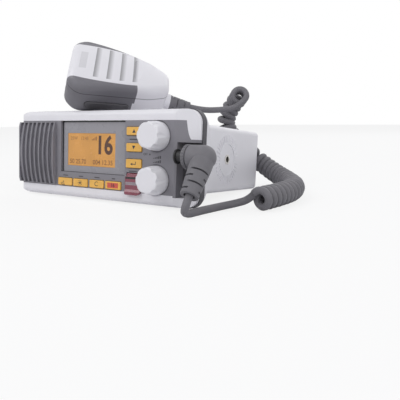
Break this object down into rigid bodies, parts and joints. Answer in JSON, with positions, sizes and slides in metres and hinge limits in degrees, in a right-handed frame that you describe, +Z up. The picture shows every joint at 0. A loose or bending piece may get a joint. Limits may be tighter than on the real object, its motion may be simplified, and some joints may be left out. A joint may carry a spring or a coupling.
{
  "type": "vhf marine radio",
  "caption": "Compact fixed-mount marine radio with ribbed speaker grille, amber display, two knobs, plug-in hand microphone and coiled cord.",
  "frame": {"origin": "under the middle of the radio, on the surface it stands on", "axes": "X to the right along the front, Y to the back, Z up; the case leans back about 5.7 degrees on its gasket and rear edge"},
  "size_m": [0.2432, 0.1751, 0.1354],
  "materials": {
    "white_case": "fine moulded texture, slightly satin",
    "grey_case": "matt moulded dark grey",
    "soft_grip": "soft matt rubber",
    "display_cover": "clear-coated printed window",
    "display": "amber lit liquid crystal display",
    "amber_keys": "translucent amber key caps",
    "orange_key": "translucent orange key cap",
    "red_cover": "translucent dark red",
    "red_button": "red",
    "key_mat": "silicone rubber",
    "cord_rubber": "dark grey cord jacket and strain reliefs",
    "socket_plastic": "hard black plastic",
    "contacts": "gold-plated pins in a block",
    "steel": "plain steel",
    "nickel": "nickel-plated brass",
    "circuit_board": "green circuit board",
    "cloth": "black acoustic cloth",
    "speaker_parts": "paper cone and steel magnet"
  },
  "bodies": {
    "radio": {"front_bezel": "white_case", "chassis": "white_case", "front_panel": "grey_case", "gasket": "soft_grip", "display_window": "display_cover", "lcd_module": "display", "keypad_mat": "key_mat", "cord_plug_lead": "cord_rubber", "cord_coil": "cord_rubber", "cord_mic_lead": "cord_rubber", "plug_elbow": "cord_rubber", "plug_strain_relief": "cord_rubber", "power_gland": "cord_rubber", "accessory_gland": "cord_rubber", "mic_socket": "socket_plastic", "volume_pot": "socket_plastic", "squelch_pot": "socket_plastic", "rf_power_module": "socket_plastic", "plug_contacts": "contacts", "distress_hinge_pin": "steel", "bezel_screws": "steel", "board_screws": "steel", "antenna_screws": "steel", "shield_can": "steel", "antenna_socket": "nickel", "bracket_insert_right": "nickel", "bracket_insert_left": "nickel", "front_board": "circuit_board", "main_board": "circuit_board", "speaker_cloth": "cloth", "speaker": "speaker_parts"},
    "volume_control": {"volume_knob": "white_case", "volume_shaft": "steel"},
    "squelch_control": {"squelch_knob": "white_case", "squelch_shaft": "steel"},
    "key_call_cap": {"key_call": "amber_keys"},
    "key_weather_cap": {"key_weather": "amber_keys"},
    "key_clear_cap": {"key_clear": "amber_keys"},
    "key_channel_16_cap": {"key_channel_16": "orange_key"},
    "key_up_cap": {"key_up": "amber_keys"},
    "key_down_cap": {"key_down": "amber_keys"},
    "key_enter_cap": {"key_enter": "amber_keys"},
    "distress_lid": {"distress_cover": "red_cover"},
    "distress_push": {"distress_button": "red_button"},
    "plug_ring": {"plug_coupling_ring": "cord_rubber"},
    "microphone": {"mic_front_shell": "white_case", "mic_grip_upper": "soft_grip", "mic_grip_lower": "soft_grip", "mic_rear_shell": "grey_case", "ptt_switch": "socket_plastic", "mic_board": "circuit_board", "mic_capsule": "steel", "mic_hanger_stud": "steel", "mic_screws": "steel", "mic_strain_relief": "cord_rubber"},
    "talk_bar": {"ptt_button": "grey_case"}
  },
  "joints": [
    {"name": "volume_turn", "type": "hinge", "parent": "radio", "child": "volume_control", "pos_m": [0.0598, -0.05983, 0.05459], "axis": [0, 0.995, -0.0998], "range_deg": [0, 300]},
    {"name": "squelch_turn", "type": "hinge", "parent": "radio", "child": "squelch_control", "pos_m": [0.0598, -0.06313, 0.02176], "axis": [0, 0.995, -0.0998], "range_deg": [0, 300]},
    {"name": "key_call_press", "type": "slide", "parent": "radio", "child": "key_call_cap", "axis": [0, 0.995, -0.0998], "range_m": [0, 0.0008], "stiffness_N_per_m": 1500, "springref_m": -0.0004},
    {"name": "key_weather_press", "type": "slide", "parent": "radio", "child": "key_weather_cap", "axis": [0, 0.995, -0.0998], "range_m": [0, 0.0008], "stiffness_N_per_m": 1500, "springref_m": -0.0004},
    {"name": "key_clear_press", "type": "slide", "parent": "radio", "child": "key_clear_cap", "axis": [0, 0.995, -0.0998], "range_m": [0, 0.0008], "stiffness_N_per_m": 1500, "springref_m": -0.0004},
    {"name": "key_channel_16_press", "type": "slide", "parent": "radio", "child": "key_channel_16_cap", "axis": [0, 0.995, -0.0998], "range_m": [0, 0.0008], "stiffness_N_per_m": 1500, "springref_m": -0.0004},
    {"name": "key_up_press", "type": "slide", "parent": "radio", "child": "key_up_cap", "axis": [0, 0.995, -0.0998], "range_m": [0, 0.0008], "stiffness_N_per_m": 1500, "springref_m": -0.0004},
    {"name": "key_down_press", "type": "slide", "parent": "radio", "child": "key_down_cap", "axis": [0, 0.995, -0.0998], "range_m": [0, 0.0008], "stiffness_N_per_m": 1500, "springref_m": -0.0004},
    {"name": "key_enter_press", "type": "slide", "parent": "radio", "child": "key_enter_cap", "axis": [0, 0.995, -0.0998], "range_m": [0, 0.0008], "stiffness_N_per_m": 1500, "springref_m": -0.0004},
    {"name": "distress_lid_swing", "type": "hinge", "parent": "radio", "child": "distress_lid", "pos_m": [0.03895, -0.06164, 0.02462], "axis": [-1, 0, 0], "range_deg": [0, 95], "stiffness_Nm_per_rad": 0.002, "springref_deg": -34.38},
    {"name": "distress_press", "type": "slide", "parent": "radio", "child": "distress_push", "axis": [0, 0.995, -0.0998], "range_m": [0, 0.001], "stiffness_N_per_m": 1500, "springref_m": -0.0004},
    {"name": "plug_ring_turn", "type": "hinge", "parent": "radio", "child": "plug_ring", "pos_m": [0.0853, -0.06049, 0.04008], "axis": [1, 0, 0], "range_deg": [0, 90]},
    {"name": "mic_lift", "type": "slide", "parent": "radio", "child": "microphone", "axis": [0, 0, 1], "range_m": [0, 0.08]},
    {"name": "talk_press", "type": "slide", "parent": "microphone", "child": "talk_bar", "axis": [-0.5554, 0.4511, 0.6986], "range_m": [0, 0.0012], "stiffness_N_per_m": 1500, "springref_m": -0.0004}
  ]
}
